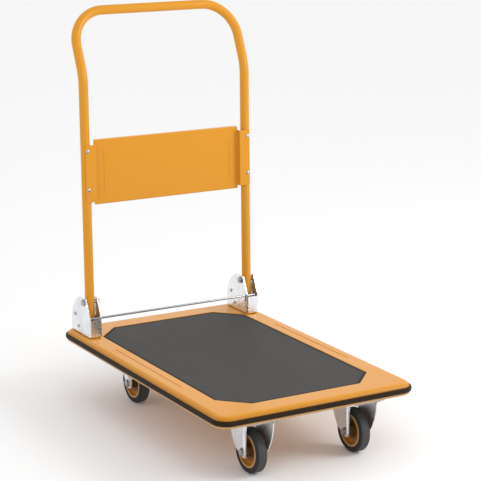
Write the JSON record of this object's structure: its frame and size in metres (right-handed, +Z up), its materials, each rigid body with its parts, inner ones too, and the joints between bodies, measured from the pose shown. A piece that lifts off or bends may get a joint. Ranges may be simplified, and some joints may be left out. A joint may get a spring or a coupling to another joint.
{
  "type": "folding platform cart",
  "caption": "Flat load deck with an edge bumper on fixed and swivel casters, and a tube push handle with a panel that unlatches and folds down over the deck.",
  "frame": {"origin": "on the ground, under the middle of the deck", "axes": "+X to the front, away from the handle; +Y to the left of someone pushing it; +Z up"},
  "size_m": [0.7464, 0.48, 0.8942],
  "materials": {
    "yellow_paint": "semi-gloss powder coat",
    "mat_vinyl": "fine-grained matt sheet",
    "bumper_rubber": "satin moulded strip",
    "zinc_plate": "bright zinc plating on pressed steel",
    "bright_steel": "bright drawn steel",
    "wheel_plastic": "moulded, slightly glossy",
    "tyre_rubber": "matt moulded tread",
    "black_plastic": "matt moulded plug"
  },
  "bodies": {
    "platform": {"deck": "yellow_paint", "deck_mat": "mat_vinyl", "edge_bumper": "bumper_rubber", "cross_channel_front": "yellow_paint", "cross_channel_rear": "yellow_paint", "hinge_bracket_left": "zinc_plate", "bracket_bolt_left_front": "zinc_plate", "bracket_bolt_left_rear": "zinc_plate", "pivot_bolt_left": "zinc_plate", "latch_pin_left": "zinc_plate", "spring_peg_left": "zinc_plate", "latch_spring_left": "bright_steel", "fixed_fork_left": "zinc_plate", "axle_bolt_front_left": "zinc_plate", "swivel_plate_left": "zinc_plate", "king_pin_left": "zinc_plate", "hinge_bracket_right": "zinc_plate", "bracket_bolt_right_front": "zinc_plate", "bracket_bolt_right_rear": "zinc_plate", "pivot_bolt_right": "zinc_plate", "latch_pin_right": "zinc_plate", "spring_peg_right": "zinc_plate", "latch_spring_right": "bright_steel", "fixed_fork_right": "zinc_plate", "axle_bolt_front_right": "zinc_plate", "swivel_plate_right": "zinc_plate", "king_pin_right": "zinc_plate"},
    "handle": {"handle_tube": "yellow_paint", "back_panel": "yellow_paint", "panel_rivet_left_lower": "bright_steel", "panel_rivet_left_upper": "bright_steel", "tube_plug_left": "black_plastic", "panel_rivet_right_lower": "bright_steel", "panel_rivet_right_upper": "bright_steel", "tube_plug_right": "black_plastic"},
    "release": {"release_rod": "bright_steel", "latch_lever_left": "zinc_plate", "latch_lever_right": "zinc_plate"},
    "swivel_left": {"swivel_fork_left": "zinc_plate", "ball_race_left": "zinc_plate", "axle_bolt_rear_left": "zinc_plate"},
    "swivel_right": {"swivel_fork_right": "zinc_plate", "ball_race_right": "zinc_plate", "axle_bolt_rear_right": "zinc_plate"},
    "wheel_front_left": {"wheel_core_front_left": "wheel_plastic", "tyre_front_left": "tyre_rubber", "wheel_bush_front_left": "zinc_plate"},
    "wheel_front_right": {"wheel_core_front_right": "wheel_plastic", "tyre_front_right": "tyre_rubber", "wheel_bush_front_right": "zinc_plate"},
    "wheel_rear_left": {"wheel_core_rear_left": "wheel_plastic", "tyre_rear_left": "tyre_rubber", "wheel_bush_rear_left": "zinc_plate"},
    "wheel_rear_right": {"wheel_core_rear_right": "wheel_plastic", "tyre_rear_right": "tyre_rubber", "wheel_bush_rear_right": "zinc_plate"}
  },
  "joints": [
    {"name": "handle_fold", "type": "hinge", "parent": "platform", "child": "handle", "pos_m": [-0.2834, 0, 0.231], "axis": [0, 1, 0], "range_deg": [0, 99]},
    {"name": "release_press", "type": "hinge", "parent": "platform", "child": "release", "pos_m": [-0.329, 0, 0.195], "axis": [0, 1, 0], "range_deg": [0, 13], "stiffness_Nm_per_rad": 0.6, "springref_deg": -34.38, "deforming": ["latch_spring_left", "latch_spring_right"]},
    {"name": "wheel_spin_front_left", "type": "hinge", "parent": "platform", "child": "wheel_front_left", "pos_m": [0.303, 0.126, 0.0475], "axis": [0, 1, 0], "continuous": true},
    {"name": "caster_swivel_left", "type": "hinge", "parent": "platform", "child": "swivel_left", "pos_m": [-0.2465, 0.126, 0.11], "axis": [0, 0, 1], "continuous": true},
    {"name": "wheel_spin_rear_left", "type": "hinge", "parent": "swivel_left", "child": "wheel_rear_left", "pos_m": [-0.2135, 0.126, 0.0475], "axis": [0, 1, 0], "continuous": true},
    {"name": "wheel_spin_front_right", "type": "hinge", "parent": "platform", "child": "wheel_front_right", "pos_m": [0.303, -0.126, 0.0475], "axis": [0, 1, 0], "continuous": true},
    {"name": "caster_swivel_right", "type": "hinge", "parent": "platform", "child": "swivel_right", "pos_m": [-0.2465, -0.126, 0.11], "axis": [0, 0, 1], "continuous": true},
    {"name": "wheel_spin_rear_right", "type": "hinge", "parent": "swivel_right", "child": "wheel_rear_right", "pos_m": [-0.2135, -0.126, 0.0475], "axis": [0, 1, 0], "continuous": true}
  ]
}
